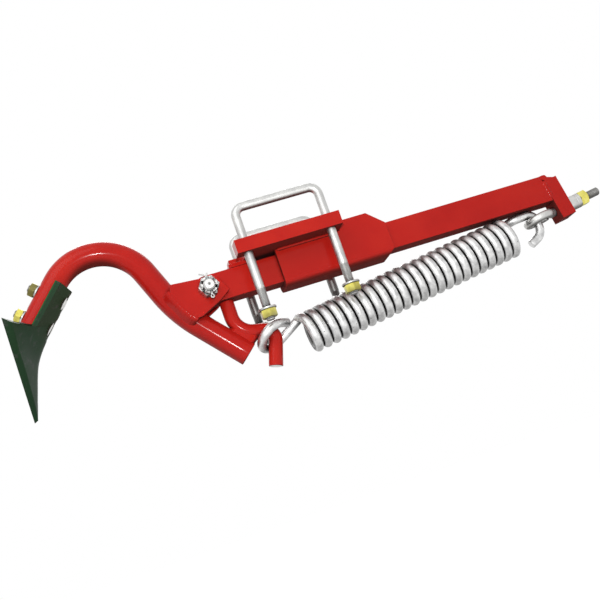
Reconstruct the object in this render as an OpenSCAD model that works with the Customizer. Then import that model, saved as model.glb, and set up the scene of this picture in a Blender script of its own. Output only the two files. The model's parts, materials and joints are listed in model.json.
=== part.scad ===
// Spring-trip cultivator tine with a U-bolt toolbar clamp.
// X runs along the beam towards the eye bolt, Y away from the castle nut, Z is the
// normal of the clamp plate. The origin is the centre of the clamp plate's top face.

/* [Toolbar clamp] */
// Width of the square toolbar between the U-bolt legs
toolbar_w = 100; // [80:1:120]
// Room between the toolbar and each leg
toolbar_room = 1; // [0.5:0.5:3]
// U-bolt rod diameter
ubolt_d = 12; // [10:1:14]
// Distance between the two U-bolts
ubolt_gap = 94; // [86:1:110]
// Outside bend radius of a U-bolt corner
ubolt_corner = 18; // [14:1:24]
// Length of a U-bolt from crown centre line to leg end
ubolt_l = 154; // [140:1:190]
// Crown centre line of the near U-bolt above the plate, as photographed
crown_near = 43.5; // [20:0.5:60]
// Crown centre line of the far U-bolt above the plate, as photographed
crown_far = 29; // [20:0.5:60]
// Washer top below the near crown
washer_drop_near = 137.4; // [120:0.1:140]
// Washer top below the far crown
washer_drop_far = 124; // [105:0.1:140]
// Clamp plate length along the beam
plate_l = 144; // [142:1:180]
// Clamp plate width across the beam
plate_w = 118; // [116:1:150]
// Clamp plate thickness
plate_t = 18; // [12:1:25]
// Width of the plate's arms beside the notch in its left end
arm_w = 24; // [20:0.5:30]
// Depth of that notch
notch_l = 12; // [6:0.5:18]
// Clearance of a U-bolt leg in its hole, on the diameter
leg_clear = 1.5; // [1:0.1:3]

/* [Beam and saddle] */
// Beam width across
beam_w = 32; // [28:1:40]
// Beam height
beam_h = 38; // [34:1:46]
// Spacer strip thickness between beam and clamp plate
strip_t = 5; // [3:0.5:10]
// Left end of the spacer strip
strip_x0 = -82; // [-86:1:-75]
// Length of the strip's right end under the clamp plate, past the notch
strip_lap = 8; // [5:1:30]
// Pivot position along the beam
pivot_x = -117; // [-130:1:-112]
// Right end of the beam at its lower edge
beam_x1 = 379.5; // [360:0.5:420]
// Saddle plate thickness
saddle_t = 8; // [5:0.5:10]
// Saddle left end
saddle_x0 = -18.5; // [-40:0.5:0]
// Saddle right end
saddle_x1 = 137; // [120:1:170]
// Outside bend radius of the saddle
saddle_r = 10; // [9:0.5:14]
// Height of the saddle's ears below the plate's top face
ear_drop = 5; // [1:1:15]
// Flat length of an ear beyond the clamp plate
ear_l = 42; // [25:1:50]

/* [Spring adjuster] */
// Tilt of the eye bolt and end plate
bolt_tilt = 8.5; // [6:0.5:12]
// End plate thickness
end_t = 21; // [12:1:24]
// End plate height
end_h = 58; // [52:1:80]
// Length of the end plate below the eye bolt
end_low = 15; // [10:1:24]
// Eye bolt rod diameter
eye_rod_d = 12; // [10:1:14]
// Ring wire diameter of the eye
eye_wire_d = 11.6; // [10:0.2:12]
// Ring centre line radius of the eye
eye_r = 17; // [16.5:0.5:22]
// Eye bolt length from ring centre to thread end
eye_rod_l = 100; // [88:1:140]
// Length of the adjuster collar
collar_l = 20; // [8:1:24]
// Diameter of the adjuster collar
collar_d = 21; // [18:1:26]
// Height of the adjuster nut
adjuster_h = 12; // [8:0.5:16]

/* [Tine] */
// Shank bar diameter
shank_d = 32; // [28:1:34]
// Arch centre line radius
arch_r = 67; // [60:1:75]
// Straight foot length that carries the sweep
foot_l = 67; // [60:1:80]
// Slope of the foot below the horizontal
foot_slope = 47; // [40:1:55]
// Straight length between arch and tail bend
riser_l = 38; // [25:1:50]
// Tail bend radius
tail_r = 180; // [140:5:220]
// Tail straight length
tail_l = 76.5; // [70:0.5:95]
// Angle by which the tail bends away from the riser
tail_bend = 19.3; // [12:0.1:24]
// Lug plate thickness
lug_t = 8; // [6:0.5:10]
// Pivot bolt diameter
pivot_d = 16; // [14:1:20]
// Hook rod diameter
rod_d = 19; // [16:0.5:20]

/* [Sweep] */
// Sweep width over its wings
sweep_w = 150; // [110:1:200]
// Sweep plate thickness
sweep_t = 6; // [4:0.5:8]
// Half width of the tang
tang_w = 26; // [22:0.5:30]
// Side slope of the folded tang
fold = 31; // [20:1:35]
// Distance between the plough bolts
share_bolt_gap = 37; // [32:1:45]
// Plough bolt diameter
share_bolt_d = 10; // [8:1:12]

/* [Spring] */
// Spring wire diameter
wire_d = 12.4; // [10:0.1:12.6]
// Mean coil radius
coil_r = 23.1; // [21:0.1:24]
// Number of coils
coils = 24; // [18:1:26]
// Gap between two coils
coil_gap = 0.95; // [0.5:0.05:1.2]
// Tilt of the spring's axis
spring_tilt = 7.8; // [7:0.1:9]
// Radius of the hook's loop round the hook rod
loop_r = 21; // [20.5:0.1:23]

/* [Hidden] */
$fn = 48;

// Small gap between pieces that touch or are painted together
fit_gap = 0.3;
// Overlap that makes two shapes of one solid join cleanly
lap = 0.01;
// Step by which a bend is thinner than the rods that it joins
step_in = 0.04;
// Room between flat tilted faces that are bolted or painted together
flat_gap = 0.02;

red = [0.75, 0.11, 0.12];
zinc = [0.78, 0.79, 0.78];
brass = [0.80, 0.72, 0.30];
green = [0.14, 0.24, 0.15];

leg_x = toolbar_w / 2 + toolbar_room + ubolt_d / 2;
beam_top = -plate_t - strip_t;
beam_bottom = beam_top - beam_h;
pivot = [pivot_x, beam_top - beam_h / 2];
lug_y = beam_w / 2 + fit_gap;
bush_d = pivot_d + 6;

// Pivot bolt: head on the far side, thread end with its pin hole on the near side
head_h = 10;
pivot_across = 24;
castle_h = 19;
castle_slot = 6;
bolt_near_y = -lug_y - lug_t - castle_h - 3;
cotter_y = -lug_y - lug_t - castle_h + castle_slot / 2;
cotter_d = 3.2;

// Washer and nut sizes of the U-bolts and of the eye bolt
washer_t = 2.5;
washer_d = 2 * ubolt_d;
nut_across = 19;
nut_h = 10.8;

// The eye bolt's line, through the centre of the ring wire that the spring pulls on
eye_wire = [beam_x1 - 40.5, beam_bottom - 19.3];
bolt_dir = [cos(bolt_tilt), sin(bolt_tilt)];
eye_centre = eye_wire + eye_r * bolt_dir;
// Faces of the end plate, measured along the bolt from the ring's centre
end_left = ([beam_x1, beam_bottom] - eye_centre) * bolt_dir;
end_right = end_left + end_t + flat_gap;

// The shank's centre line, worked out from the tail's end
foot_dir = 180 + foot_slope;
riser_dir = 112;
tail_dir = riser_dir + tail_bend;
tail_end = pivot + [26.11, -94.32];
tail_top = tail_end + tail_l * [cos(tail_dir), sin(tail_dir)];
tail_centre = tail_top + tail_r * [sin(tail_dir), -cos(tail_dir)];
riser_low = tail_centre - tail_r * [sin(riser_dir), -cos(riser_dir)];
riser_top = riser_low + riser_l * [cos(riser_dir), sin(riser_dir)];
arch_centre = riser_top + arch_r * [-sin(riser_dir), cos(riser_dir)];
foot_top = arch_centre + arch_r * [sin(foot_dir), -cos(foot_dir)];
foot_vec = [cos(foot_dir), sin(foot_dir)];
foot_end = foot_top + foot_l * foot_vec;
// Direction from the foot's axis to its front, where the sweep sits
front_vec = [-foot_vec[1], foot_vec[0]];

// Place of the hook rod's bends, from the beam's underside and the tail
rod_x = pivot_x + 19.5;
rod_leg_slope = -10;
rod_end_dir = -108;
rod_corner = [rod_x, tail_end[1] + 30.72];
rod_leg_l = 51.3;
rod_leg_vec = [cos(rod_leg_slope), sin(rod_leg_slope)];
rod_end_vec = [cos(rod_end_dir), sin(rod_end_dir)];
rod_knee = rod_corner + rod_leg_l * rod_leg_vec;
rod_bend = 28;
rod_knee_r = 14;
rod_end_l = 50;

// The spring's own frame: axis, normal, and the centre of its first coil
axis_a = [cos(spring_tilt), 0, sin(spring_tilt)];
axis_n = [-sin(spring_tilt), 0, cos(spring_tilt)];
pitch = wire_d + coil_gap;
coil_start = [pivot_x + 107.4, 0, beam_bottom - 71.7];
coil_first = 18;
coil_last = 360 * coils - 92;
curl_rings = 8;
wire_sides = 6;

// The loop's left wire lies in the hook rod's inner corner, against the rod's end part
seat_room = 0.3;
roll_room = 1.75;
knee_half = (180 - (rod_leg_slope - rod_end_dir)) / 2;
seat_reach = (wire_d / 2 + rod_d / 2 + seat_room) / sin(knee_half);
seat_dir = 180 + rod_leg_slope + knee_half;
loop_seat = rod_knee + seat_reach * [cos(seat_dir), sin(seat_dir)] + 4.6 * rod_end_vec - [roll_room, 0];
loop_slope = 24;
loop_roll = 25;
loop_p = [cos(loop_slope), 0, sin(loop_slope)];
loop_q = [sin(loop_roll) * sin(loop_slope), cos(loop_roll), -sin(loop_roll) * cos(loop_slope)];
loop_centre = [loop_seat[0], 0, loop_seat[1]] + loop_r * loop_p;
loop_first = 75;
loop_last = 322;
// Length of the straight piece between the first coil and the loop, and its share in the loop
shank_run = 31;
loop_run = 12.6;

// Length along a path of points, up to each point
function unit(v) = v / norm(v);
function path_lengths(pts) =
    [for (i = 0, s = 0; i < len(pts); i = i + 1, s = s + norm(pts[min(i, len(pts) - 1)] - pts[i - 1])) s];
function tangent(pts, i) =
    unit(pts[min(i + 1, len(pts) - 1)] - pts[max(i - 1, 0)]);
function across(u, t) = unit(u - (u * t) * t);
function side_vectors(pts) =
    [for (i = 0, u = across([0.3, 0.9, 0.2], tangent(pts, 0)); i < len(pts);
        i = i + 1, u = across(u, tangent(pts, min(i, len(pts) - 1)))) u];
function bezier(p0, p1, p2, p3, t) =
    pow(1 - t, 3) * p0 + 3 * pow(1 - t, 2) * t * p1 + 3 * (1 - t) * t * t * p2 + t * t * t * p3;

// Distance from point p to the stretch between points a and b
function stretch_gap(p, a, b) =
    let (d = b - a, t = max(0, min(1, (p - a) * d / (d * d)))) norm(p - a - t * d);

// Least gap between parts of a wire that lie more than three wires apart along it
function self_gap(pts) =
    let (s = path_lengths(pts), n = len(pts))
    min([for (i = [0 : n - 1]) for (j = [i + 1 : n - 2])
        if (s[j] - s[i] > 3 * wire_d && s[j] - s[i] < 320)
            stretch_gap(pts[i], pts[j], pts[j + 1])]) - wire_d;

// Round tube along a path, as one closed skin of triangles
module tube(pts, d, sides) {
    u = side_vectors(pts);
    n = len(pts);
    ring = [for (i = [0 : n - 1])
        let (t = tangent(pts, i), v = cross(t, u[i]))
        for (k = [0 : sides - 1])
            pts[i] + d / 2 * (cos(360 * k / sides) * u[i] + sin(360 * k / sides) * v)];
    walls = [for (i = [0 : n - 2]) for (k = [0 : sides - 1])
        let (a = i * sides + k, b = i * sides + (k + 1) % sides)
        each [[a, a + sides, b + sides], [a, b + sides, b]]];
    first_cap = [for (k = [1 : sides - 2]) [0, k, k + 1]];
    last = (n - 1) * sides;
    last_cap = [for (k = [1 : sides - 2]) [last, last + k + 1, last + k]];
    polyhedron(points = ring, faces = concat(walls, first_cap, last_cap));
}

// Flat outline in the X-Z plane, given thickness from y0 to y1
module across_y(y0, y1) {
    translate([0, y1, 0]) rotate([90, 0, 0]) linear_extrude(y1 - y0) children();
}

// Flat outline in the Y-Z plane, drawn out from x0 to x1
module along_x(x0, x1) {
    translate([x0, 0, 0]) rotate([90, 0, 90]) linear_extrude(x1 - x0) children();
}

// Round rod from point p in direction dir (degrees above X), in the X-Z plane
module rod(p, dir, l, d) {
    translate([p[0], 0, p[1]]) rotate([0, 90 - dir, 0]) cylinder(h = l, d = d);
}

// Round bend in the X-Z plane about centre c, from angle a0 through sweep_angle
module bend(c, r, d, a0, sweep_angle) {
    translate([c[0], 0, c[1]]) rotate([90, 0, 0]) rotate([0, 0, a0])
        rotate_extrude(angle = sweep_angle, $fn = 96) translate([r, 0]) circle(d = d);
}

// The same, a hair thinner and with its ends let into the straight rods that it joins
module inner_bend(c, r, d, a0, sweep_angle) {
    let_in = 0.3;
    bend(c, r, d - 2 * step_in, a0 - let_in, sweep_angle + 2 * let_in);
}

module hex_nut(across_flats, h) {
    cylinder(h = h, d = across_flats / cos(30), $fn = 6);
}

// Place children on the eye bolt's line, s beyond the ring's centre, with Z along the bolt
module on_bolt(s) {
    translate([eye_centre[0] + s * bolt_dir[0], 0, eye_centre[1] + s * bolt_dir[1]])
        rotate([0, 90 - bolt_tilt, 0]) children();
}

module ubolt(crown) {
    reach = ubolt_corner - ubolt_d / 2;
    for (side = [-1, 1])
        translate([side * leg_x, 0, crown - ubolt_l]) cylinder(h = ubolt_l - reach, d = ubolt_d);
    bend([leg_x - reach, crown - reach], reach, ubolt_d, 0, 90);
    bend([-leg_x + reach, crown - reach], reach, ubolt_d, 90, 90);
    rod([-leg_x + reach, crown], 0, 2 * (leg_x - reach), ubolt_d);
}

module ubolt_near() {
    color(zinc) translate([0, -ubolt_gap / 2, 0]) ubolt(crown_near);
}

module ubolt_far() {
    color(zinc) translate([0, ubolt_gap / 2, 0]) ubolt(crown_far);
}

module washers(y, top) {
    for (side = [-1, 1]) translate([side * leg_x, y, top - washer_t]) difference() {
        cylinder(h = washer_t, d = washer_d);
        translate([0, 0, -1]) cylinder(h = washer_t + 2, d = ubolt_d + 0.04);
    }
}

module nuts(y, top) {
    for (side = [-1, 1]) translate([side * leg_x, y, top - washer_t - nut_h]) difference() {
        hex_nut(nut_across, nut_h);
        translate([0, 0, -1]) cylinder(h = nut_h + 2, d = ubolt_d + 0.04);
    }
}

module ubolt_washers_near() {
    color(zinc) washers(-ubolt_gap / 2, crown_near - washer_drop_near);
}

module ubolt_washers_far() {
    color(zinc) washers(ubolt_gap / 2, crown_far - washer_drop_far);
}

module ubolt_nuts_near() {
    color(brass) nuts(-ubolt_gap / 2, crown_near - washer_drop_near);
}

module ubolt_nuts_far() {
    color(brass) nuts(ubolt_gap / 2, crown_far - washer_drop_far);
}

module clamp_plate() {
    color(red) difference() {
        translate([-plate_l / 2, -plate_w / 2, -plate_t]) cube([plate_l, plate_w, plate_t]);
        translate([-plate_l / 2 - 1, -plate_w / 2 + arm_w, -plate_t - 1])
            cube([notch_l + 1, plate_w - 2 * arm_w, plate_t + 2]);
        for (x = [-leg_x, leg_x]) for (y = [-ubolt_gap / 2, ubolt_gap / 2])
            translate([x, y, -plate_t - 1]) cylinder(h = plate_t + 2, d = ubolt_d + leg_clear);
    }
}

module spacer_strip() {
    color(red) translate([strip_x0, -beam_w / 2, beam_top])
        cube([notch_l + strip_lap - plate_l / 2 - strip_x0, beam_w, strip_t]);
}

// Outline of one saddle wall, with its ear beside the clamp plate
module saddle_side() {
    ear_x0 = plate_l / 2 + 1;
    polygon([[saddle_x0, beam_bottom - saddle_t], [saddle_x1 - 9, beam_bottom - saddle_t],
        [saddle_x1, beam_bottom - 1], [saddle_x1, beam_top - 2], [ear_x0 + ear_l, -ear_drop],
        [ear_x0, -ear_drop], [ear_x0, -plate_t], [saddle_x0, -plate_t]]);
}

// Cross-section of the folded channel, wide open at its top
module saddle_section() {
    half = beam_w / 2 + fit_gap + saddle_t;
    floor_z = beam_bottom - saddle_t;
    difference() {
        union() {
            translate([-half, floor_z + saddle_r]) square([2 * half, -floor_z - saddle_r]);
            translate([-half + saddle_r, floor_z]) square([2 * (half - saddle_r), saddle_r + 1]);
            for (side = [-1, 1]) translate([side * (half - saddle_r), floor_z + saddle_r]) circle(saddle_r);
        }
        translate([-beam_w / 2 - fit_gap, beam_bottom]) square([beam_w + 2 * fit_gap, -beam_bottom + 1]);
    }
}

module saddle() {
    color(red) intersection() {
        along_x(saddle_x0, saddle_x1) saddle_section();
        across_y(-beam_w, beam_w) saddle_side();
    }
}

module beam() {
    color(red) difference() {
        across_y(-beam_w / 2, beam_w / 2) union() {
            polygon([[pivot[0], beam_bottom], [beam_x1, beam_bottom],
                [beam_x1 - beam_h * tan(bolt_tilt), beam_top], [pivot[0], beam_top]]);
            translate(pivot) circle(d = beam_h, $fn = 96);
        }
        translate([pivot[0], beam_w, pivot[1]]) rotate([90, 0, 0])
            cylinder(h = 2 * beam_w, d = bush_d + 0.04);
    }
}

module end_plate() {
    color(red) difference() {
        on_bolt(end_left + flat_gap) translate([end_low - end_h, -beam_w / 2, 0])
            cube([end_h, beam_w, end_t - flat_gap]);
        on_bolt(end_left - 1) cylinder(h = end_t + 2, d = eye_rod_d + 1);
    }
}

module pivot_bush() {
    color(zinc) translate([pivot[0], beam_w / 2 + 0.1, pivot[1]]) rotate([90, 0, 0]) difference() {
        cylinder(h = beam_w + 0.2, d = bush_d);
        translate([0, 0, -1]) cylinder(h = beam_w + 3, d = pivot_d + 0.1);
    }
}

module pivot_bolt() {
    far_y = lug_y + lug_t;
    color(zinc) difference() {
        union() {
            translate([pivot[0], far_y, pivot[1]]) rotate([90, 0, 0])
                cylinder(h = far_y - bolt_near_y, d = pivot_d);
            translate([pivot[0], far_y + head_h, pivot[1]]) rotate([90, 0, 0])
                hex_nut(pivot_across, head_h);
        }
        translate([pivot[0], cotter_y, pivot[1] - 20]) cylinder(h = 40, d = cotter_d + 0.3);
    }
}

module castle_nut() {
    slot_w = 4.4;
    color(zinc) translate([pivot[0], -lug_y - lug_t, pivot[1]]) rotate([90, 0, 0]) difference() {
        union() {
            hex_nut(pivot_across, castle_h - castle_slot);
            cylinder(h = castle_h, d = pivot_across - 2);
        }
        translate([0, 0, -1]) cylinder(h = castle_h + 2, d = pivot_d + 0.1);
        for (turn = [0 : 60 : 120]) rotate([0, 0, turn])
            translate([-slot_w / 2, -15, castle_h - castle_slot]) cube([slot_w, 30, castle_slot + 1]);
    }
}

module cotter_pin() {
    pin_low = 17;
    pin_high = 13.5;
    prong_l = 8;
    color(zinc) translate([pivot[0], cotter_y, pivot[1]]) {
        translate([0, 0, -pin_low]) cylinder(h = pin_low + pin_high, d = cotter_d);
        translate([0, 0, pin_high - 0.8]) rotate([0, -65, 0]) cylinder(h = prong_l, d = cotter_d);
    }
}

module eye_bolt() {
    color(zinc) union() {
        on_bolt(0) rotate([0, 90, 0]) rotate_extrude($fn = 96) translate([eye_r, 0]) circle(d = eye_wire_d);
        on_bolt(eye_r + 1) cylinder(h = eye_rod_l - eye_r - 1, d = eye_rod_d);
    }
}

module adjuster_collar() {
    color(zinc) on_bolt(end_right) difference() {
        cylinder(h = collar_l, d = collar_d);
        translate([0, 0, -1]) cylinder(h = collar_l + 2, d = eye_rod_d + 0.1);
    }
}

module adjuster_nut() {
    color(brass) on_bolt(end_right + collar_l) difference() {
        hex_nut(nut_across, adjuster_h);
        translate([0, 0, -1]) cylinder(h = adjuster_h + 2, d = eye_rod_d + 0.04);
    }
}

// Plough bolts: places along the foot, seats on the shank's back and heads in the sweep
function foot_point(s) = foot_end - s * foot_vec;
share_bolt_s = [8, 8 + share_bolt_gap];
seat_depth = 1.8;
share_head_d = 20;
share_head_h = 5.5;
share_washer_t = 2.5;
share_nut_h = 8.4;
// Distance of the sweep's crest and of the bolt heads' faces from the foot's axis
crest_out = (shank_d / 2 + 0.05 + sweep_t) / cos(fold);
head_out = crest_out - 2.5;

// Place children at a plough bolt, with Z from the sweep's front to the shank's back
module at_share_bolt(s) {
    p = foot_point(s);
    translate([p[0], 0, p[1]]) rotate([0, 180 - foot_dir, 0]) children();
}

module shank_bar(d) {
    rod(tail_end, tail_dir, tail_l, d);
    inner_bend(tail_centre, tail_r, d, riser_dir + 90, tail_bend);
    rod(riser_low, riser_dir, riser_l, d);
    inner_bend(arch_centre, arch_r, d, riser_dir - 90, foot_dir - riser_dir);
    rod(foot_top, foot_dir, foot_l, d);
}

module shank() {
    color(red) difference() {
        shank_bar(shank_d);
        for (s = share_bolt_s) {
            at_share_bolt(s) translate([0, 0, -shank_d]) cylinder(h = 2 * shank_d, d = share_bolt_d + 1);
            at_share_bolt(s) translate([0, 0, shank_d / 2 - seat_depth]) cylinder(h = shank_d, d = 21);
        }
    }
}

// Lug outline, from the pivot's centre. A shank wider than the beam cuts its seat into the lug.
module lug(y) {
    difference() {
        across_y(y, y + lug_t) difference() {
            translate(pivot) polygon([[-46, 18.5], [-4, 15], [15, 12], [26, -9], [9, -20.5], [-18, -33.5],
                [-25, -34], [-31.5, -26.5], [-38, -18], [-45, -5], [-49, 8]]);
            translate(pivot) circle(d = pivot_d + 0.1);
        }
        shank_bar(shank_d + fit_gap);
    }
}

module lug_near() {
    color(red) lug(-lug_y - lug_t);
}

module lug_far() {
    color(red) lug(lug_y);
}

// Weld beads from the shank's flank up along the lugs' lower left edges
module lug_welds() {
    bead = 5;
    deep = 4.5;
    flank = shank_d / 2 + fit_gap - 0.2;
    color(red) for (y = [[-lug_y - deep, -flank], [flank, lug_y + deep]]) across_y(y[0], y[1]) translate(pivot)
        polygon([[-49.1, 8], [-45.1, -5.1], [-38.1, -18.1], [-31.6, -26.6], [-25.1, -34.1],
            [-25.1 - bead * 0.75, -34.1 - bead * 0.6], [-31.6 - bead * 0.8, -26.6 - bead * 0.6],
            [-38.1 - bead * 0.9, -18.1 - bead * 0.5], [-45.1 - bead, -5.1 - bead * 0.3],
            [-49.1 - bead, 8]]);
}

module hook_rod() {
    corner_turn = 90 + rod_leg_slope;
    corner_cut = rod_bend * tan(corner_turn / 2);
    knee_turn = rod_leg_slope - rod_end_dir;
    knee_cut = rod_knee_r * tan(knee_turn / 2);
    bend_centre = rod_corner + [rod_bend, corner_cut];
    leg_start = rod_corner + corner_cut * rod_leg_vec;
    leg_end = rod_knee - knee_cut * rod_leg_vec;
    knee_centre = leg_end + rod_knee_r * [rod_leg_vec[1], -rod_leg_vec[0]];
    top = beam_bottom - 0.2;
    color(red) difference() {
        union() {
            rod(bend_centre - [rod_bend, 0], 90, top - bend_centre[1], rod_d);
            inner_bend(bend_centre, rod_bend, rod_d, 180, corner_turn);
            rod(leg_start, rod_leg_slope, norm(leg_end - leg_start), rod_d);
            inner_bend(knee_centre, rod_knee_r, rod_d, rod_end_dir + 90, knee_turn);
            rod(rod_knee + knee_cut * rod_end_vec, rod_end_dir, rod_end_l - knee_cut, rod_d);
        }
        rod(tail_end - [cos(tail_dir), sin(tail_dir)], tail_dir, tail_l, shank_d + 0.2);
    }
}

// The sweep is a skin of rows down its crest and columns out to its edges. The tang's rows
// are straight folds round the shank, the wings' rows run from the crest to the cutting edge.
tang_s0 = 64;
tang_s1 = 20;
tang_edge_s1 = -3;
crest_s = 23;
tang_rows = 3;
wing_rows = 10;
side_cols = 6;
bevel_w = 8;
function crest_line(s) = foot_point(s) + crest_out * front_vec;
sweep_point = foot_end + [-29, -118.6];
function crest(t) = bezier(crest_line(crest_s), crest_line(crest_s - 73), sweep_point + [28.1, 69.2],
    sweep_point + [5.2, 4.8], t);
function crest_way(t) = unit(crest(t + 0.01) - crest(t));
wing_t0 = 0.15;
wing_tip_z = foot_end[1] + 4.9;
function edge_point(e) =
    [sweep_point[0] + 1.6 * (1 - e), sweep_w / 2 * (1 - e), wing_tip_z + (sweep_point[1] - wing_tip_z) * e];
function mix(a, b, f) = a * (1 - f) + b * f;
function flat(c) = [c[0], 0, c[1]];
// Step from the outer to the inner skin, straight back from the crest
function back_step(way, thick) = thick / cos(fold) * [way[1], 0, -way[0]];

function tang_outer(i) =
    let (f = i / tang_rows, c = crest_line(tang_s0 + (tang_s1 - tang_s0) * f),
        low = crest_line(tang_s0 + (tang_edge_s1 - tang_s0) * f) - tang_w * tan(fold) * front_vec,
        e = [low[0], tang_w, low[1]])
    [for (j = [0 : side_cols]) mix(flat(c), e, j / side_cols)];
function tang_inner(i) = [for (p = tang_outer(i)) p + back_step(foot_vec, sweep_t)];

function wing_e(k) = 0.985 * k / wing_rows;
function wing_t(k) = wing_t0 + (1 - wing_t0) * wing_e(k);
function wing_thick(k) = sweep_t * (1 - 0.4 * wing_e(k) * wing_e(k));
function wing_step(k) = back_step(crest_way(wing_t(k)), wing_thick(k));
function wing_plain(k) =
    let (c = flat(crest(wing_t(k))), e = edge_point(wing_e(k)) - wing_step(k),
        f = max(0.5, 1 - bevel_w / norm(e - c)))
    [for (j = [0 : side_cols - 1]) mix(c, e, f * j / (side_cols - 1))];
function wing_outer(k) = concat(wing_plain(k), [edge_point(wing_e(k)) - 0.15 * wing_step(k)]);
function wing_inner(k) = concat([for (p = wing_plain(k)) p + wing_step(k)], [edge_point(wing_e(k))]);

// Full row from a half row, with the other half mirrored in Y
function full_row(half) =
    concat([for (j = [side_cols : -1 : 1]) [half[j][0], -half[j][1], half[j][2]]], half);

module sweep() {
    outer = concat([for (i = [0 : tang_rows]) each full_row(tang_outer(i))],
        [for (k = [0 : wing_rows]) each full_row(wing_outer(k))]);
    inner = concat([for (i = [0 : tang_rows]) each full_row(tang_inner(i))],
        [for (k = [0 : wing_rows]) each full_row(wing_inner(k))]);
    m = 2 * side_cols + 1;
    rows = tang_rows + wing_rows + 2;
    n = rows * m;
    last = (rows - 1) * m;
    skin = [for (r = [0 : rows - 2]) for (j = [0 : m - 2])
        let (a = r * m + j, b = a + 1, c = b + m, d = a + m)
        each [[a, b, c], [a, c, d], [n + a, n + c, n + b], [n + a, n + d, n + c]]];
    ends = [for (j = [0 : m - 2]) let (a = j, b = last + j)
        each [[a, n + a, n + a + 1], [a, n + a + 1, a + 1], [b, n + b + 1, n + b], [b, b + 1, n + b + 1]]];
    sides = [for (r = [0 : rows - 2]) let (a = r * m, b = a + m, c = a + m - 1, d = b + m - 1)
        each [[a, b, n + b], [a, n + b, n + a], [c, n + d, d], [c, n + c, n + d]]];
    color(green) difference() {
        polyhedron(points = concat(outer, inner), faces = concat(skin, ends, sides));
        for (s = share_bolt_s) at_share_bolt(s) {
            translate([0, 0, -head_out - 30]) cylinder(h = 60, d = share_bolt_d + 0.2);
            translate([0, 0, -head_out]) cylinder(h = share_head_h, d1 = share_head_d + 0.2, d2 = share_bolt_d + 0.2);
            translate([0, 0, -head_out - 20 + lap]) cylinder(h = 20, d = share_head_d + 0.2);
        }
    }
}

module plough_bolts() {
    tail = shank_d / 2 - seat_depth + share_washer_t + share_nut_h + 2.5;
    color(zinc) for (s = share_bolt_s) at_share_bolt(s) {
        translate([0, 0, -head_out]) cylinder(h = share_head_h, d1 = share_head_d, d2 = share_bolt_d);
        translate([0, 0, -head_out + 1]) cylinder(h = head_out - 1 + tail, d = share_bolt_d);
    }
}

module plough_washers() {
    color(zinc) for (s = share_bolt_s) at_share_bolt(s) translate([0, 0, shank_d / 2 - seat_depth])
        difference() {
            cylinder(h = share_washer_t, d = 18);
            translate([0, 0, -1]) cylinder(h = share_washer_t + 2, d = share_bolt_d + 0.2);
        }
}

module plough_nuts() {
    color(brass) for (s = share_bolt_s) at_share_bolt(s)
        translate([0, 0, shank_d / 2 - seat_depth + share_washer_t]) difference() {
            hex_nut(17, share_nut_h);
            translate([0, 0, -1]) cylinder(h = share_nut_h + 2, d = share_bolt_d + 0.04);
        }
}

// Spring wire: straight run from the loop, bend, coils, rise behind the last coil, hook
function coil_at(a) =
    coil_start + pitch * a / 360 * axis_a + coil_r * cos(a) * axis_n - coil_r * sin(a) * [0, 1, 0];
function coil_way(a) =
    unit(pitch / 360 * axis_a - coil_r * PI / 180 * (sin(a) * axis_n + cos(a) * [0, 1, 0]));
function loop_at(a) = loop_centre + loop_r * (cos(a) * loop_p + sin(a) * loop_q);
function loop_way(a) = cos(a) * loop_q - sin(a) * loop_p;
function curve(p0, w0, p1, w1, n) =
    [for (i = [1 : n - 1]) bezier(p0, p0 + w0, p1 - w1, p1, i / n)];

run_way = -loop_way(loop_first);
run_low = loop_at(loop_first);
run_split = run_low + loop_run * run_way;
run_high = run_low + shank_run * run_way;

// Hook at the eye: corner round the ring wire, straight drop, curl and straight end
corner_r = 13.5;
corner_centre = eye_wire - [0.8, 0.8];
drop_z = eye_wire[1] - 7.7;
curl_r = 17;
curl_turn = 64;
curl_centre = [corner_centre[0] + corner_r - curl_r, drop_z];
hook_top = corner_centre + corner_r * [cos(94), sin(94)] - 11 * [cos(4), sin(4)];
curl_end = curl_centre + curl_r * [cos(curl_turn), -sin(curl_turn)];
hook_end = curl_end + wire_d * [-sin(curl_turn), -cos(curl_turn)];
coil_end = coil_at(coil_last);

spring_path = concat([run_split + fit_gap * run_way, run_split + wire_d * run_way, run_high],
    curve(run_high, 11 * run_way, coil_at(coil_first), 9 * coil_way(coil_first), 8),
    [for (a = [coil_first : 360 / curl_rings : coil_last - 20]) coil_at(a)],
    [coil_end],
    curve(coil_end, 20 * coil_way(coil_last), flat(hook_top), [16, 0, 1], 9),
    [for (a = [94 : -11.75 : 0]) flat(corner_centre + corner_r * [cos(a), sin(a)])],
    [for (a = [0 : 16 : curl_turn]) flat(curl_centre + curl_r * [cos(a), -sin(a)])],
    [flat(hook_end)]);

loop_path = concat([run_split, run_low],
    [for (a = [loop_first + 13 : 13 : loop_last]) loop_at(a)],
    [loop_at(loop_last) + wire_d * loop_way(loop_last)]);

echo("least gap of the spring to itself", self_gap(spring_path));
echo("least gap of the hook to itself", self_gap(loop_path));
echo("end of the spring's pull line at the eye", eye_wire, "at the hook", loop_seat);

module spring() {
    color(zinc) tube(spring_path, wire_d, wire_sides);
}

module spring_hook() {
    color(zinc) tube(loop_path, wire_d, wire_sides);
}

beam();
spacer_strip();
saddle();
clamp_plate();
end_plate();
pivot_bush();
pivot_bolt();
castle_nut();
cotter_pin();
ubolt_near();
ubolt_far();
ubolt_washers_near();
ubolt_washers_far();
ubolt_nuts_near();
ubolt_nuts_far();
eye_bolt();
adjuster_collar();
adjuster_nut();
shank();
lug_near();
lug_far();
lug_welds();
hook_rod();
sweep();
plough_bolts();
plough_washers();
plough_nuts();
spring();
spring_hook();
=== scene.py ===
"""Looks of the spring-trip cultivator tine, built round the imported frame."""

import json
import math

import bmesh
import bpy
import numpy as np
from mathutils import Matrix, Vector

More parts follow.
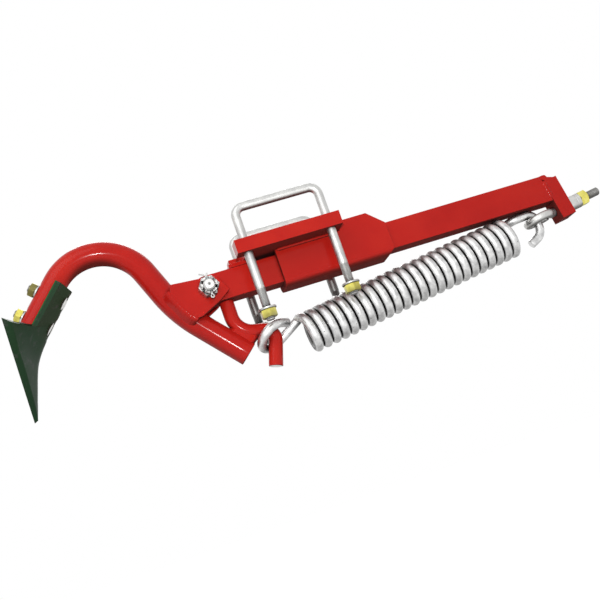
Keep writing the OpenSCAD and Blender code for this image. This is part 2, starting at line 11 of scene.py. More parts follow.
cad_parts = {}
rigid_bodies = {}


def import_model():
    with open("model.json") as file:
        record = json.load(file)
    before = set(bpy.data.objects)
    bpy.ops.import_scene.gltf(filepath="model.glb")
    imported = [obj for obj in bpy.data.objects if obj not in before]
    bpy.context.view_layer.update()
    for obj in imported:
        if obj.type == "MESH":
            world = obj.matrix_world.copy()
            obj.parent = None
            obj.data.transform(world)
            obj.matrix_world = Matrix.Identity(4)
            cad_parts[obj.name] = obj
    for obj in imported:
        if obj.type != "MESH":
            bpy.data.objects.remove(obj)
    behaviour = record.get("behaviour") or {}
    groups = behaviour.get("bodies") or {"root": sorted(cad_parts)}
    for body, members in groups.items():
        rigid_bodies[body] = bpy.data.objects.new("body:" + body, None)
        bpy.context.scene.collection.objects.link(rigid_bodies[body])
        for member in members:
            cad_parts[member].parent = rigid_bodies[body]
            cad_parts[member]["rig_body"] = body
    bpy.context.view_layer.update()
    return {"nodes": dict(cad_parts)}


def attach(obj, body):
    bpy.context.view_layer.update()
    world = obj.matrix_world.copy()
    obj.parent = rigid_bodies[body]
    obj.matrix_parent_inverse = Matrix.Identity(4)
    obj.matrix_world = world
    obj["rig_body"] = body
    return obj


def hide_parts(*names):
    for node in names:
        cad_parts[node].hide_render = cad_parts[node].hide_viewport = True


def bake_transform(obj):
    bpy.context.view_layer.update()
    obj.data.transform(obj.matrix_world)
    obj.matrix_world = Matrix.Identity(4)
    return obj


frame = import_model()
MM = 0.001


# Vector helpers, in millimetres

def vec(*a):
    return np.array(a, float)


def unit(v):
    return v / np.linalg.norm(v)


def polar(deg, r=1.0):
    """Point in the X-Z plane at an angle above X."""
    return vec(r * math.cos(math.radians(deg)), 0, r * math.sin(math.radians(deg)))


def xz(p, y=0.0):
    return vec(p[0], y, p[1])


def bezier(p0, p1, p2, p3, t):
    return (1 - t) ** 3 * p0 + 3 * (1 - t) ** 2 * t * p1 + 3 * (1 - t) * t * t * p2 + t ** 3 * p3


def arc(centre, r, a0, a1, steps):
    """Points of an arc in the X-Z plane, from angle a0 to a1."""
    return [centre + polar(a, r) for a in np.linspace(a0, a1, steps)]


def smoothstep(x):
    x = np.clip(x, 0, 1)
    return x * x * (3 - 2 * x)


def noise1(seed, n):
    """Smooth repeatable wobble of n values between -1 and 1."""
    rng = np.random.default_rng(seed)
    knots = rng.uniform(-1, 1, max(4, n // 3 + 2))
    return np.interp(np.linspace(0, len(knots) - 1, n), np.arange(len(knots)), knots)


# Materials

def new_material(name):
    m = bpy.data.materials.new(name)
    m.use_nodes = True
    nt = m.node_tree
    return m, nt, nt.nodes["Principled BSDF"]


def node(nt, kind, links=(), **values):
    """Adds a node, sets its attributes and input values, and links sockets to its inputs."""
    n = nt.nodes.new(kind)
    for k, v in values.items():
        if k.startswith("in_"):
            key = k[3:]
            n.inputs[int(key) if key.isdigit() else key].default_value = v
        else:
            setattr(n, k, v)
    for socket, key in links:
        nt.links.new(socket, n.inputs[key])
    return n


def ramp(nt, fac, stops):
    r = node(nt, "ShaderNodeValToRGB", [(fac, "Fac")])
    els = r.color_ramp.elements
    while len(els) < len(stops):
        els.new(0.5)
    for e, (pos, col) in zip(els, stops):
        e.position = pos
        e.color = (*col, 1) if len(col) == 3 else col
    return r


def grey(v):
    return (v, v, v)


def coordinates(nt):
    return node(nt, "ShaderNodeTexCoord").outputs["Object"]


def noise_tex(nt, co, scale, detail=3.0, rough=0.55):
    return node(nt, "ShaderNodeTexNoise", [(co, "Vector")], in_Scale=scale, in_Detail=detail,
                in_Roughness=rough).outputs["Fac"]


def bump(nt, height, strength, distance, under=None):
    links = [(height, "Height")] + ([(under, "Normal")] if under else [])
    return node(nt, "ShaderNodeBump", links, in_Strength=strength, in_Distance=distance).outputs["Normal"]


def blend_to(nt, colour, mask, to):
    """Mixes a colour towards another by a mask."""
    return node(nt, "ShaderNodeMix", [(mask, 0), (colour, 6)], data_type="RGBA", in_7=(*to, 1)).outputs[2]


def fade(nt, colour, mask, amount, to):
    """Mixes a colour towards another by a mask times an amount."""
    weight = node(nt, "ShaderNodeMath", [(mask, 0)], operation="MULTIPLY", in_1=amount).outputs[0]
    return blend_to(nt, colour, weight, to)


def darken(nt, colour, dots, amount):
    """Multiplies a colour by dots, as far as the amount says."""
    return node(nt, "ShaderNodeMix", [(colour, 6), (dots, 7)], data_type="RGBA", blend_type="MULTIPLY",
                in_0=amount).outputs[2]


def attribute(nt, name):
    return node(nt, "ShaderNodeAttribute", attribute_name=name).outputs["Fac"]


def corner_dirt_and_shade(nt, colour, amount, dark, reach=0.010):
    """Dirt and painted shade where surfaces meet in a corner, within a reach in metres."""
    open_air = node(nt, "ShaderNodeAmbientOcclusion", samples=8, in_Distance=reach).outputs["AO"]
    shut = ramp(nt, open_air, [(0.3, grey(1.0)), (0.75, grey(0.0))]).outputs["Color"]
    return fade(nt, colour, shut, amount, dark)


def paint(name, low, mid, high, rough, gloss, peel, scuff=None, edge=None):
    """Sprayed enamel: colour drift, orange peel, uneven gloss, optional worn patches, painted edge
    highlights, painted shade on faces that look down, dirt and painted shade in corners.
    """
    m, nt, bsdf = new_material(name)
    co = coordinates(nt)
    drift = noise_tex(nt, co, 9, 4)
    colour = ramp(nt, drift, [(0.3, low), (0.5, mid), (0.72, high)]).outputs["Color"]
    specks = noise_tex(nt, co, 900, 2)
    dots = ramp(nt, specks, [(0.28, grey(0.55)), (0.36, grey(1.0))]).outputs["Color"]
    colour = darken(nt, colour, dots, 0.35)
    roughness = ramp(nt, noise_tex(nt, co, 40, 5), [(0.3, grey(rough * 0.75)), (0.7, grey(rough * 1.3))])
    if scuff:
        wear = noise_tex(nt, co, 48, 8, 0.72)
        mask = ramp(nt, wear, [(0.55, grey(0.0)), (0.66, grey(1.0))]).outputs["Color"]
        colour = blend_to(nt, colour, mask, scuff)
    # Painted highlight: edges marked on the mesh are brightened to the edge colour
    if edge:
        colour = blend_to(nt, colour, attribute(nt, "painted_edge_highlight"), edge)
    # Painted shade: faces that look down, or left where marked, turn darker, and duller too
    painted_shade = attribute(nt, "painted_shade")
    colour = fade(nt, colour, painted_shade, 0.8, (0.06, 0.016, 0.012))
    # Corners turn darker: dirt and painted shade
    colour = corner_dirt_and_shade(nt, colour, 0.7, (0.05, 0.008, 0.007))
    roughness = fade(nt, roughness.outputs["Color"], painted_shade, 1.0, grey(0.9))
    nt.links.new(colour, bsdf.inputs["Base Color"])
    nt.links.new(roughness, bsdf.inputs["Roughness"])
    bsdf.inputs["Specular IOR Level"].default_value = gloss
    fine = bump(nt, noise_tex(nt, co, 260, 2), 0.5, peel)
    slow = bump(nt, noise_tex(nt, co, 45, 2), 0.5, peel * 4, fine)
    nt.links.new(slow, bsdf.inputs["Normal"])
    return m


def plated(name, dark, mid, light, rough, pits=0.0, grain=300, dirt_and_shade=False, painted_shade_amount=0.8, clouds=60):
    """Zinc plating: cloudy tones, uneven gloss, fine grain, optional pits, dirt and painted shade where the
    mesh is marked, painted shade on faces that look down, dirt and painted shade in corners.
    """
    m, nt, bsdf = new_material(name)
    co = coordinates(nt)
    cloudy = noise_tex(nt, co, clouds, 6, 0.65)
    colour = ramp(nt, cloudy, [(0.3, dark), (0.52, mid), (0.7, light)]).outputs["Color"]
    height = noise_tex(nt, co, grain, 4, 0.6)
    normal = bump(nt, height, 0.35, 0.00012)
    if pits:
        cells = node(nt, "ShaderNodeTexVoronoi", [(co, "Vector")], in_Scale=210)
        gate = noise_tex(nt, co, 85, 2)
        dots = ramp(nt, cells.outputs["Distance"], [(0.1, grey(0.25)), (0.2, grey(1.0))]).outputs["Color"]
        where = ramp(nt, gate, [(0.52, grey(0.0)), (0.6, grey(1.0))]).outputs["Color"]
        pitted = node(nt, "ShaderNodeMix", [(where, 0), (dots, 7)], data_type="RGBA",
                      in_6=(1, 1, 1, 1)).outputs[2]
        colour = darken(nt, colour, pitted, pits)
        normal = bump(nt, pitted, 0.6, 0.0004, normal)
    # Darkened where the mesh is marked: dirt in places, painted shade in others
    if dirt_and_shade:
        colour = blend_to(nt, colour, attribute(nt, "dirt_and_shade"), (0.05, 0.047, 0.045))
    roughness = ramp(nt, noise_tex(nt, co, 140, 5), [(0.3, grey(rough * 0.8)), (0.7, grey(rough * 1.2))])
    roughness = roughness.outputs["Color"]
    # Painted shade: faces that look down, or left where marked, turn darker by the given amount, and duller
    # too
    if painted_shade_amount:
        painted_shade = attribute(nt, "painted_shade")
        colour = fade(nt, colour, painted_shade, painted_shade_amount, (0.05, 0.045, 0.04))
        roughness = fade(nt, roughness, painted_shade, 1.0, grey(0.6))
    # Corners turn darker: dirt and painted shade
    colour = corner_dirt_and_shade(nt, colour, 0.9, (0.02, 0.018, 0.017), 0.006)
    nt.links.new(colour, bsdf.inputs["Base Color"])
    nt.links.new(roughness, bsdf.inputs["Roughness"])
    nt.links.new(normal, bsdf.inputs["Normal"])
    bsdf.inputs["Metallic"].default_value = 1.0
    return m


RED = paint("red_enamel", (0.48, 0.012, 0.009), (0.55, 0.016, 0.011), (0.62, 0.023, 0.013), 0.15, 0.14,
            0.00003)
# The green's edge colour is a painted highlight for the tang's edges
GREEN = paint("green_enamel", (0.006, 0.028, 0.009), (0.008, 0.038, 0.012), (0.013, 0.05, 0.017), 0.36, 0.16,
              0.00007, scuff=(0.05, 0.06, 0.05), edge=(0.014, 0.09, 0.022))
ZINC = plated("bright_zinc", grey(0.5), (0.6, 0.6, 0.585), (0.7, 0.7, 0.68), 0.44, dirt_and_shade=True)
SPRING_ZINC = plated("spring_zinc", grey(0.46), (0.71, 0.71, 0.705), (0.88, 0.88, 0.87), 0.43, pits=0.9,
                     dirt_and_shade=True, painted_shade_amount=0.4, clouds=110)
YELLOW = plated("yellow_plating", (0.5, 0.42, 0.07), (0.78, 0.71, 0.17), (0.88, 0.83, 0.34), 0.34, dirt_and_shade=True,
                painted_shade_amount=0.5)
STEEL = plated("worn_steel", grey(0.42), (0.62, 0.61, 0.59), (0.75, 0.75, 0.73), 0.42, pits=0.3,
               painted_shade_amount=0.0)


# Mesh building

def make(name, verts, faces, material, body, stands_for=(), sharp=35):
    """A mesh object from points in millimetres, smooth but for edges that turn by more than sharp degrees."""
    mesh = bpy.data.meshes.new(name)
    mesh.from_pydata([tuple(np.asarray(v) * MM) for v in verts], [],
                     [tuple(int(i) for i in f) for f in faces])
    mesh.validate()
    bm = bmesh.new()
    bm.from_mesh(mesh)
    bmesh.ops.remove_doubles(bm, verts=bm.verts, dist=1e-7)
    bmesh.ops.recalc_face_normals(bm, faces=bm.faces)
    bm.to_mesh(mesh)
    bm.free()
    mesh.shade_smooth()
    mesh.set_sharp_from_angle(angle=math.radians(sharp))
    return place(name, mesh, material, body, stands_for)


def mark_painted_shade(mesh, left):
    """Marks the faces that look down, and left if asked, for painted shade and a dull finish."""
    normals = np.empty(len(mesh.loops) * 3)
    mesh.corner_normals.foreach_get("vector", normals)
    down = -normals.reshape(-1, 3)[:, 2]
    if left:
        down = np.maximum(down, -normals.reshape(-1, 3)[:, 0])
    mesh.attributes.new("painted_shade", "FLOAT", "CORNER").data.foreach_set("value", smoothstep((down - 0.45) / 0.45))


def place(name, mesh, material, body, stands_for=(), left=False):
    """Puts a mesh in the scene on its body, in place of the CAD nodes that it stands for."""
    mesh.materials.clear()
    mesh.materials.append(material)
    # Faces that look down, and left if asked, are marked for painted shade
    mark_painted_shade(mesh, left)
    obj = bpy.data.objects.new(name, mesh)
    bpy.context.scene.collection.objects.link(obj)
    if body:
        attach(obj, body)
    if stands_for:
        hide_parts(*stands_for)
    return obj


def spots_of(obj):
    """An object's vertices in millimetres."""
    return np.array([p.co[:] for p in obj.data.vertices]) / MM


def set_dirt_and_shade(obj, values):
    """Dirt and painted shade from 0 to 1 at each vertex, which the plated materials darken by."""
    obj.data.attributes.new("dirt_and_shade", "FLOAT", "POINT").data.foreach_set("value", values)


def join_parts(parts):
    """One vertex and face list from several."""
    verts, faces = [], []
    for v, f in parts:
        base = len(verts)
        verts.extend(v)
        faces.extend([[i + base for i in face] for face in f])
    return verts, faces


def moved(part, m):
    """A part's vertices through a 4x4 matrix in millimetres."""
    v, f = part
    a = np.asarray(v, float)
    m = np.array(m)
    return [p for p in a @ m[:3, :3].T + m[:3, 3]], f


def axes(origin, z_dir, x_dir=(0, 1, 0)):
    """Matrix that carries local Z to z_dir, and local X as near to x_dir as it can be."""
    z = unit(np.asarray(z_dir, float))
    x = np.asarray(x_dir, float)
    x = x - (x @ z) * z
    x = unit(x) if np.linalg.norm(x) > 0.01 else unit(np.cross(z, vec(0.3, 0, 1)))
    m = np.eye(4)
    m[:3, 0], m[:3, 1], m[:3, 2], m[:3, 3] = x, np.cross(z, x), z, origin
    return m


def ring_faces(n, sides, loop=False, ends=True):
    """Faces between n rings of points, with a loop back to the first ring or a flat face at each end."""
    faces = []
    for i in range(n if loop else n - 1):
        j = (i + 1) % n
        for k in range(sides):
            m = (k + 1) % sides
            faces.append([i * sides + k, i * sides + m, j * sides + m, j * sides + k])
    if ends:
        faces += [list(range(sides))[::-1], list(range((n - 1) * sides, n * sides))]
    return faces


def rounded_end(ring, cap, inward):
    """Rings that round the edge of a tube's end. Inward is 1 at the start of the path and -1 at its end."""
    p, w, r = ring
    turns = [math.pi / 2 * s for s in (0.0, 0.3, 0.6, 0.85, 1.0)]
    return [(p + inward * w * cap * (1 - math.cos(a)), w, r - cap * (1 - math.sin(a))) for a in turns]


def tube(path, radius, sides=32, caps=(1.0, 1.0)):
    """Round tube along a path, with end edges rounded by the caps' radii. Radius may vary along the path."""
    pts = [np.asarray(p, float) for p in path]
    rad = list(np.broadcast_to(np.asarray(radius, float), (len(pts),)))
    ways = [unit(pts[min(i + 1, len(pts) - 1)] - pts[max(i - 1, 0)]) for i in range(len(pts))]
    rings = list(zip(pts, ways, rad))
    rings = rounded_end(rings[0], caps[0], 1) + rings[1:-1] + rounded_end(rings[-1], caps[1], -1)[::-1]
    u = unit(np.cross(rings[0][1], vec(0.31, 0.2, 0.93)))
    verts = []
    for p, w, r in rings:
        u = unit(u - (u @ w) * w)
        v = np.cross(w, u)
        for k in range(sides):
            a = 2 * math.pi * k / sides
            verts.append(p + r * (math.cos(a) * u + math.sin(a) * v))
    return verts, ring_faces(len(rings), sides)


def loft(rings):
    """Closed skin over rings of equal length, with flat ends."""
    return [p for ring in rings for p in ring], ring_faces(len(rings), len(rings[0]))


def turned(n, sides, radius_z, closed=True):
    """Skin of n rings round Z. radius_z(i, k) gives the radius and height of ring i at side k."""
    verts = []
    for i in range(n):
        for k in range(sides):
            a = 2 * math.pi * k / sides
            r, z = radius_z(i, k)
            verts.append(vec(r * math.cos(a), r * math.sin(a), z))
    return verts, ring_faces(n, sides, loop=closed, ends=False)


def lathe(profile, sides=64, closed=True):
    """Body of revolution about Z from (radius, z) points."""
    return turned(len(profile), sides, lambda i, k: profile[i], closed)


def washer(d_out, d_in):
    ri, ro, c, t = d_in / 2, d_out / 2, 0.4, WASHER_T
    return lathe([(ri, 0), (ro - c, 0), (ro, c), (ro, t - c), (ro - c, t), (ri, t)])


def hex_nut(flats, h, bore, chamfer_low=True, sides=96):
    """Hexagon nut with turned chamfers and a countersunk bore."""
    r_face = flats / 2 * 0.97
    rims = []
    for k in range(sides):
        a = 2 * math.pi * k / sides
        off = (a + math.pi / 6) % (math.pi / 3) - math.pi / 6
        r_hex = flats / 2 / math.cos(off)
        drop = (r_hex - r_face) * 0.5
        low = drop if chamfer_low else 0.15
        rims.append([(bore / 2, 1.0), (bore / 2 + 0.9, 0.0), (r_face, 0.0), (r_hex, low),
                     (r_hex, h - drop), (r_face, h), (bore / 2 + 0.9, h), (bore / 2, h - 1.0)])
    return turned(len(rims[0]), sides, lambda i, k: rims[k][i])


def thread(length, r, pitch, depth, lead=1.2, sides=40):
    """Threaded rod along Z from 0 to length, with a run-out at both ends and a chamfer at the far one."""
    rings_per_turn = 8
    n = int(length / pitch * rings_per_turn)
    verts = []
    for z in np.linspace(0, length, n + 1):
        run_out = min(1.0, z / (pitch * 1.5), (length - z) / pitch + 0.3)
        chamfer = max(0.0, lead - (length - z))
        for k in range(sides):
            f = (z / pitch - k / sides) % 1.0
            groove = depth * run_out * (1 - abs(2 * f - 1)) ** 0.8
            r_here = r - max(groove, chamfer)
            verts.append(vec(r_here * math.cos(2 * math.pi * k / sides),
                             r_here * math.sin(2 * math.pi * k / sides), z))
    return verts, ring_faces(n + 1, sides)


def soften(mesh, width, segments, angle):
    """Merges a CAD mesh's flat triangles and rounds its edges that turn by more than the angle."""
    bm = bmesh.new()
    bm.from_mesh(mesh)
    bmesh.ops.remove_doubles(bm, verts=bm.verts, dist=2e-6)
    bmesh.ops.dissolve_limit(bm, angle_limit=math.radians(1), verts=bm.verts, edges=bm.edges)
    sharp = [e for e in bm.edges if len(e.link_faces) == 2 and e.calc_face_angle(0) > math.radians(angle)]
    bmesh.ops.bevel(bm, geom=sharp, offset=width * MM, segments=segments, profile=0.5, affect="EDGES",
                    clamp_overlap=True)
    bmesh.ops.recalc_face_normals(bm, faces=bm.faces)
    bm.to_mesh(mesh)
    bm.free()
    mesh.shade_smooth()
    mesh.set_sharp_from_angle(angle=math.radians(50))


def from_cad(name, node_name, width, material, segments=2, angle=28, left=False):
    """A softened copy of a CAD node stands for it."""
    mesh = frame["nodes"][node_name].data.copy()
    soften(mesh, width, segments, angle)
    obj = place(name, mesh, material, frame["nodes"][node_name]["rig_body"], [node_name], left)
    wn = obj.modifiers.new("weighted", "WEIGHTED_NORMAL")
    wn.keep_sharp = True
    return obj


# Sizes shared with the part's source

PLATE_T, STRIP_T, BEAM_W, BEAM_H, LUG_T = 18, 5, 32, 38, 8
LEG_X, UBOLT_D, UBOLT_L, UBOLT_GAP = 57, 12, 154, 94
UBOLT_BEND_R, UBOLT_THREAD_L, UBOLT_NUT_H = 12, 44, 10.8
M12_FLATS, M12_BORE, M12_PITCH, WASHER_T = 19, 11.6, 1.75, 2.5
BEAM_TOP = -PLATE_T - STRIP_T
BEAM_LOW = BEAM_TOP - BEAM_H
PIVOT = vec(-117, 0, BEAM_TOP - BEAM_H / 2)
LUG_Y = BEAM_W / 2 + 0.3
LUG_FACE = LUG_Y + LUG_T
BOLT_TILT = 8.5
BOLT_DIR = polar(BOLT_TILT)
EYE_R, EYE_WIRE_D = 17, 11.6
BEAM_END = vec(379.5, 0, BEAM_LOW)
EYE_WIRE = BEAM_END - vec(40.5, 0, 19.3)
EYE = EYE_WIRE + EYE_R * BOLT_DIR
EYE_BOLT_L, END_PLATE_T, COLLAR_L, ADJUSTER_NUT_H = 100, 21.02, 20, 12
END_LEFT = float((BEAM_END - EYE) @ BOLT_DIR)
END_RIGHT = END_LEFT + END_PLATE_T
SHANK_R, ROD_R = 16, 9.5

# Clamp and beam

from_cad("clamp_plate_face", "clamp_plate", 0.8, RED)
from_cad("spacer_strip_bar", "spacer_strip", 0.6, RED)
# The saddle and the end plate also get painted shade on their faces that look left
from_cad("saddle_channel", "saddle", 0.9, RED, left=True)
from_cad("beam_bar", "beam", 1.3, RED, segments=3)
from_cad("end_plate_block", "end_plate", 1.3, RED, segments=3, left=True)
from_cad("bush", "pivot_bush", 0.3, STEEL)

# U-bolts, with their washers and nuts


def ubolt(name, y, crown):
    """Bent rod with a thread on each leg. The far one, at y above 0, is darkened below the plate as painted
    shade.
    """
    low = crown - UBOLT_L
    bend_x, bend_z, thread_z = LEG_X - UBOLT_BEND_R, crown - UBOLT_BEND_R, low + UBOLT_THREAD_L
    path = [vec(-LEG_X, y, z) for z in np.linspace(thread_z, bend_z, 8)]
    path += arc(vec(-bend_x, y, bend_z), UBOLT_BEND_R, 180, 90, 12)[1:]
    path += [vec(x, y, crown) for x in np.linspace(-bend_x, bend_x, 8)][1:]
    path += arc(vec(bend_x, y, bend_z), UBOLT_BEND_R, 90, 0, 12)[1:]
    path += [vec(LEG_X, y, z) for z in np.linspace(bend_z, thread_z, 8)][1:]
    parts = [tube(path, UBOLT_D / 2, 40, (0.1, 0.1))]
    for x in (-LEG_X, LEG_X):
        parts.append(moved(thread(UBOLT_THREAD_L + 0.5, UBOLT_D / 2 - 0.05, M12_PITCH, 0.75),
                           axes(vec(x, y, thread_z + 0.5), (0, 0, -1))))
    v, f = join_parts(parts)
    obj = make(name + "_rod", v, f, ZINC, name, [name], sharp=30)
    heights = spots_of(obj)[:, 2]
    below_plate = smoothstep((-PLATE_T - 2 - heights) / 12)
    threads = smoothstep((thread_z + 2 - heights) / 6)
    # Painted shade darkens the far U-bolt's legs below the plate; the near one's threads are a little darker
    set_dirt_and_shade(obj, 0.7 * below_plate if y > 0 else 0.2 * threads)


# Side, y, height of the crown, and drop from the crown to the washers' top
for side, y, crown, drop in (("near", -UBOLT_GAP / 2, 43.5, 137.4), ("far", UBOLT_GAP / 2, 29, 124.0)):
    ubolt("ubolt_" + side, y, crown)
    washer_z = crown - drop - WASHER_T
    nut_z = washer_z - UBOLT_NUT_H
    v, f = join_parts([moved(washer(24, 12.6), axes(vec(x, y, washer_z), (0, 0, 1)))
                       for x in (-LEG_X, LEG_X)])
    make("ubolt_washer_pair_" + side, v, f, ZINC, "ubolt_" + side, ["ubolt_washers_" + side])
    v, f = join_parts([moved(hex_nut(M12_FLATS, UBOLT_NUT_H, M12_BORE),
                             axes(vec(x, y, nut_z), (0, 0, 1), (1, 0, 0))) for x in (-LEG_X, LEG_X)])
    pair = make("ubolt_nut_pair_" + side, v, f, YELLOW, "ubolt_" + side, ["ubolt_nuts_" + side], sharp=20)
    # The nuts are darker towards the bottom
    set_dirt_and_shade(pair, 0.6 * smoothstep((2.5 - (spots_of(pair)[:, 2] - nut_z)) / 2.5))

# Eye bolt: ring closed against its shank, thread through the end plate, collar and nut


def on_bolt(run):
    """Point of the eye bolt's axis at a distance from the eye's centre."""
    return EYE + run * BOLT_DIR


RING_OPEN_DEG = 24
eye_ring = []
for a in np.linspace(RING_OPEN_DEG, 360, 72):
    c, s = math.cos(math.radians(a)), math.sin(math.radians(a))
    eye_ring.append(EYE + EYE_R * (c * BOLT_DIR + s * vec(0, 1, 0)))
parts = [tube(eye_ring, EYE_WIRE_D / 2, 36, (1.5, 0.5)),
         tube([on_bolt(u) for u in (EYE_R - 3, EYE_R + 1, EYE_R + 7, END_LEFT + 4)], [4.5, 6.6, 6.0, 6.0], 40,
              (1.0, 0.2)),
         moved(thread(EYE_BOLT_L - END_RIGHT + 3, 5.95, M12_PITCH, 0.8, lead=1.4),
               axes(on_bolt(END_RIGHT - 3), BOLT_DIR)),
         tube([on_bolt(END_LEFT + 3), on_bolt(END_RIGHT - 2)], 5.9, 24, (0.1, 0.1))]
v, f = join_parts(parts)
eye_bolt = make("eye_bolt_forged", v, f, ZINC, "frame", ["eye_bolt"], sharp=30)
# The eye bolt's thread is darker from within the adjuster nut onward
set_dirt_and_shade(eye_bolt, 0.7 * smoothstep(((spots_of(eye_bolt) - EYE) @ BOLT_DIR - END_RIGHT - 24) / 4))
collar = lathe([(6.05, 0), (9.8, 0), (10.5, 0.7), (10.5, 12.6), (10.1, 13.1), (10.1, 13.5), (10.5, 14),
                (10.5, 16.6), (10.2, 17), (10.5, 17.4), (10.5, 19.5), (10.0, 20), (6.05, 20)], 72)
v, f = moved(collar, axes(on_bolt(END_RIGHT), BOLT_DIR))
make("adjuster_collar_turned", v, f, ZINC, "frame", ["adjuster_collar"], sharp=30)
v, f = moved(hex_nut(M12_FLATS, ADJUSTER_NUT_H, M12_BORE),
             axes(on_bolt(END_RIGHT + COLLAR_L), BOLT_DIR, polar(BOLT_TILT + 90)))
make("adjuster_nut_hex", v, f, YELLOW, "frame", ["adjuster_nut"], sharp=20)

# Tine: the shank's centre line, as in the part's source

FOOT_DIR, RISER_DIR, TAIL_BEND = 227, 112, 19.3
TAIL_DIR = RISER_DIR + TAIL_BEND
TAIL_END = PIVOT + vec(26.11, 0, -94.32)
TAIL_R, ARCH_R, FOOT_L = 180, 67, 67
TAIL_TOP = TAIL_END + polar(TAIL_DIR, 76.5)
TAIL_C = TAIL_TOP + polar(TAIL_DIR - 90, TAIL_R)
RISER_LOW = TAIL_C + polar(RISER_DIR + 90, TAIL_R)
RISER_TOP = RISER_LOW + polar(RISER_DIR, 38)
ARCH_C = RISER_TOP - polar(RISER_DIR - 90, ARCH_R)
FOOT_TOP = ARCH_C + polar(FOOT_DIR - 90, ARCH_R)
FOOT = polar(FOOT_DIR)
FOOT_END = FOOT_TOP + FOOT_L * FOOT
FRONT = vec(-FOOT[2], 0, FOOT[0])


def line(a, b, n):
    return [a + (b - a) * t for t in np.linspace(0, 1, n)]


def line_and_arcs(pieces):
    """Joins stretches of points and drops the doubles where they meet."""
    out = []
    for piece in pieces:
        for p in piece:
            if not out or np.linalg.norm(p - out[-1]) > 0.05:
                out.append(p)
    return out


shank_path = line_and_arcs([
    line(TAIL_END, TAIL_TOP, 8),
    arc(TAIL_C, TAIL_R, TAIL_DIR + 90, RISER_DIR + 90, 14),
    line(RISER_LOW, RISER_TOP, 5),
    arc(ARCH_C, ARCH_R, RISER_DIR - 90, FOOT_DIR - 90, 48),
    line(FOOT_TOP, FOOT_END, 40)])
v, f = tube(shank_path, SHANK_R, 72, (1.0, 1.2))
# The foot's back is flattened round each plough bolt, to seat its washer
PLOUGH_S, SEAT = (8, 45), 14.2
seated = []
for p in v:
    s, back = (FOOT_END - p) @ FOOT, (FOOT_END - p) @ FRONT
    if -2 < s < 66:
        for bolt_s in PLOUGH_S:
            d = math.hypot(s - bolt_s, p[1])
            level = SEAT + (SHANK_R - SEAT) * float(smoothstep((d - 10.5) / 2.0))
            if d < 12.5 and back > level:
                p = p + FRONT * (back - level)
                back = level
    seated.append(p)
make("shank_bar", seated, f, RED, "tine", ["shank"], sharp=50)
from_cad("lug_plate_near", "lug_near", 0.9, RED)
from_cad("lug_plate_far", "lug_far", 0.9, RED)

ROD_X = PIVOT[0] + 19.5
LEG, TIP = polar(-10), polar(-108)
CORNER_BEND_R, KNEE_BEND_R = 28, 14
ROD_CORNER = vec(ROD_X, 0, TAIL_END[2] + 30.72)
ROD_KNEE = ROD_CORNER + 51.3 * LEG
corner_cut = CORNER_BEND_R * math.tan(math.radians(40))
knee_cut = KNEE_BEND_R * math.tan(math.radians(49))
corner_c = ROD_CORNER + vec(CORNER_BEND_R, 0, corner_cut)
leg_end = ROD_KNEE - knee_cut * LEG
knee_c = leg_end + KNEE_BEND_R * vec(LEG[2], 0, -LEG[0])
rod_path = line_and_arcs([
    line(vec(ROD_X, 0, BEAM_LOW - 0.2), vec(ROD_X, 0, ROD_CORNER[2] + corner_cut), 6),
    arc(corner_c, CORNER_BEND_R, 180, 260, 20),
    line(ROD_CORNER + corner_cut * LEG, leg_end, 4),
    arc(knee_c, KNEE_BEND_R, 80, -18, 20),
    line(ROD_KNEE + knee_cut * TIP, ROD_KNEE + 50 * TIP, 8)])
v, f = tube(rod_path, ROD_R, 56, (0.8, 1.4))
make("hook_rod_bar", v, f, RED, "tine", ["hook_rod"], sharp=50)
v, f = tube([rod_path[-1] - 0.5 * TIP, rod_path[-1] + 0.1 * TIP], 8.3, 48, (0.1, 0.1))
make("hook_rod_cut_end", v, f, STEEL, "tine")

# Welds


def run_of(pts):
    """Distance along a path at each of its points."""
    return np.concatenate([[0], np.cumsum(np.linalg.norm(np.diff(pts, axis=0), axis=1))])


def bead(path, width, seed):
    """Weld bead: overlapping ripples with an uneven edge."""
    pts = np.array(path, float)
    run = run_of(pts)
    length = run[-1]
    at = np.linspace(0, length, int(length / 0.7) + 4)
    middle = np.stack([np.interp(at, run, pts[:, k]) for k in range(3)], axis=1)
    knots = max(4, int(length / 5))
    wob = np.interp(at, np.linspace(0, length, knots), noise1(seed, knots))
    ripple = np.abs(np.sin(at / 4.2 * math.pi + wob))
    rad = width / 2 * (0.94 + 0.05 * ripple + 0.04 * wob)
    ends = np.minimum(np.minimum(at, length - at) / (width * 0.6), 1)
    return tube(middle, rad * np.sqrt(np.clip(ends, 0.15, 1)), 20, (0.3, 0.3))


def along(path, step):
    """Even points along a path, with the unit direction and the run of each."""
    pts = np.array(path, float)
    run = run_of(pts)
    at = np.linspace(0, run[-1], int(run[-1] / step) + 2)
    out = np.stack([np.interp(at, run, pts[:, k]) for k in range(3)], axis=1)
    ways = np.gradient(out, axis=0)
    return out, ways / np.linalg.norm(ways, axis=1, keepdims=True), at


shank_line = np.array(shank_path)


def shank_side(p):
    """Height of the shank's flank over its middle plane at a point of that plane."""
    off = np.min(np.linalg.norm(shank_line - p, axis=1))
    return math.sqrt(max(SHANK_R * SHANK_R - off * off, 0.0))


